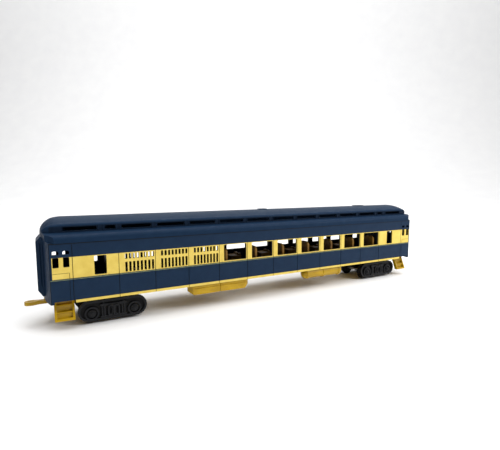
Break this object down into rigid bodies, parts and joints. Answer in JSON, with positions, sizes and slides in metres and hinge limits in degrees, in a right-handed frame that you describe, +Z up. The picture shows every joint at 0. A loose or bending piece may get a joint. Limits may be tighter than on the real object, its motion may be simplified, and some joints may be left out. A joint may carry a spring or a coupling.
{
  "type": "model passenger coach",
  "caption": "HO-scale heavyweight passenger coach with clerestory roof, open and barred windows, vestibule steps and swivelling four-wheel trucks.",
  "frame": {"origin": "middle of the coach, on the plane that the wheel flanges stand on", "axes": "+X along the coach, +Y across it towards the far side, +Z up"},
  "size_m": [0.2568, 0.0354, 0.0516],
  "materials": {
    "body_paint": "satin navy blue with a pale yellow window band",
    "roof_paint": "satin navy blue",
    "mustard_plastic": "semi-gloss moulded mustard plastic",
    "interior_plastic": "matte moulded mustard plastic",
    "truck_black": "satin black plastic",
    "wheel_black": "satin black with worn tread",
    "axle_steel": "turned steel",
    "screw_steel": "plated steel",
    "ballast_steel": "mill finish steel strip"
  },
  "bodies": {
    "coach": {"air_tank_far": "mustard_plastic", "air_tank_near": "mustard_plastic", "ballast_weight": "ballast_steel", "battery_box_far": "mustard_plastic", "battery_box_near": "mustard_plastic", "body_screws": "screw_steel", "body_shell": "body_paint", "bulkheads": "body_paint", "centre_sill": "mustard_plastic", "coupler_pin_left": "screw_steel", "coupler_pin_right": "screw_steel", "diaphragm_left": "body_paint", "diaphragm_right": "body_paint", "draft_box_left": "mustard_plastic", "draft_box_right": "mustard_plastic", "end_door_left": "body_paint", "end_door_right": "body_paint", "galley_units": "interior_plastic", "high_back_seats": "interior_plastic", "kingpin_left": "screw_steel", "kingpin_right": "screw_steel", "low_back_seats": "interior_plastic", "roof": "roof_paint", "saloon_floor": "body_paint", "steps_left_far": "mustard_plastic", "steps_left_near": "mustard_plastic", "steps_right_far": "mustard_plastic", "steps_right_near": "mustard_plastic", "underframe": "mustard_plastic"},
    "truck_left": {"truck_frame_left": "truck_black"},
    "truck_right": {"truck_frame_right": "truck_black"},
    "coupler_left": {"coupler_left": "mustard_plastic"},
    "coupler_right": {"coupler_right": "mustard_plastic"},
    "wheelset_1": {"axle_1": "axle_steel", "wheels_1": "wheel_black"},
    "wheelset_2": {"axle_2": "axle_steel", "wheels_2": "wheel_black"},
    "wheelset_3": {"axle_3": "axle_steel", "wheels_3": "wheel_black"},
    "wheelset_4": {"axle_4": "axle_steel", "wheels_4": "wheel_black"}
  },
  "joints": [
    {"name": "truck_left_swivel", "type": "hinge", "parent": "coach", "child": "truck_left", "pos_m": [-0.0905, 0, 0.01], "axis": [0, 0, 1], "range_deg": [-15, 15]},
    {"name": "truck_right_swivel", "type": "hinge", "parent": "coach", "child": "truck_right", "pos_m": [0.0905, 0, 0.01], "axis": [0, 0, 1], "range_deg": [-15, 15]},
    {"name": "coupler_left_swing", "type": "hinge", "parent": "coach", "child": "coupler_left", "pos_m": [-0.1109, 0, 0.01075], "axis": [0, 0, 1], "range_deg": [-10, 10]},
    {"name": "coupler_right_swing", "type": "hinge", "parent": "coach", "child": "coupler_right", "pos_m": [0.1109, 0, 0.01075], "axis": [0, 0, 1], "range_deg": [-10, 10]},
    {"name": "wheelset_1_spin", "type": "hinge", "parent": "truck_left", "child": "wheelset_1", "pos_m": [-0.10045, 0, 0.00505], "axis": [0, 1, 0], "continuous": true},
    {"name": "wheelset_2_spin", "type": "hinge", "parent": "truck_left", "child": "wheelset_2", "pos_m": [-0.08055, 0, 0.00505], "axis": [0, 1, 0], "continuous": true},
    {"name": "wheelset_3_spin", "type": "hinge", "parent": "truck_right", "child": "wheelset_3", "pos_m": [0.08055, 0, 0.00505], "axis": [0, 1, 0], "continuous": true},
    {"name": "wheelset_4_spin", "type": "hinge", "parent": "truck_right", "child": "wheelset_4", "pos_m": [0.10045, 0, 0.00505], "axis": [0, 1, 0], "continuous": true}
  ]
}
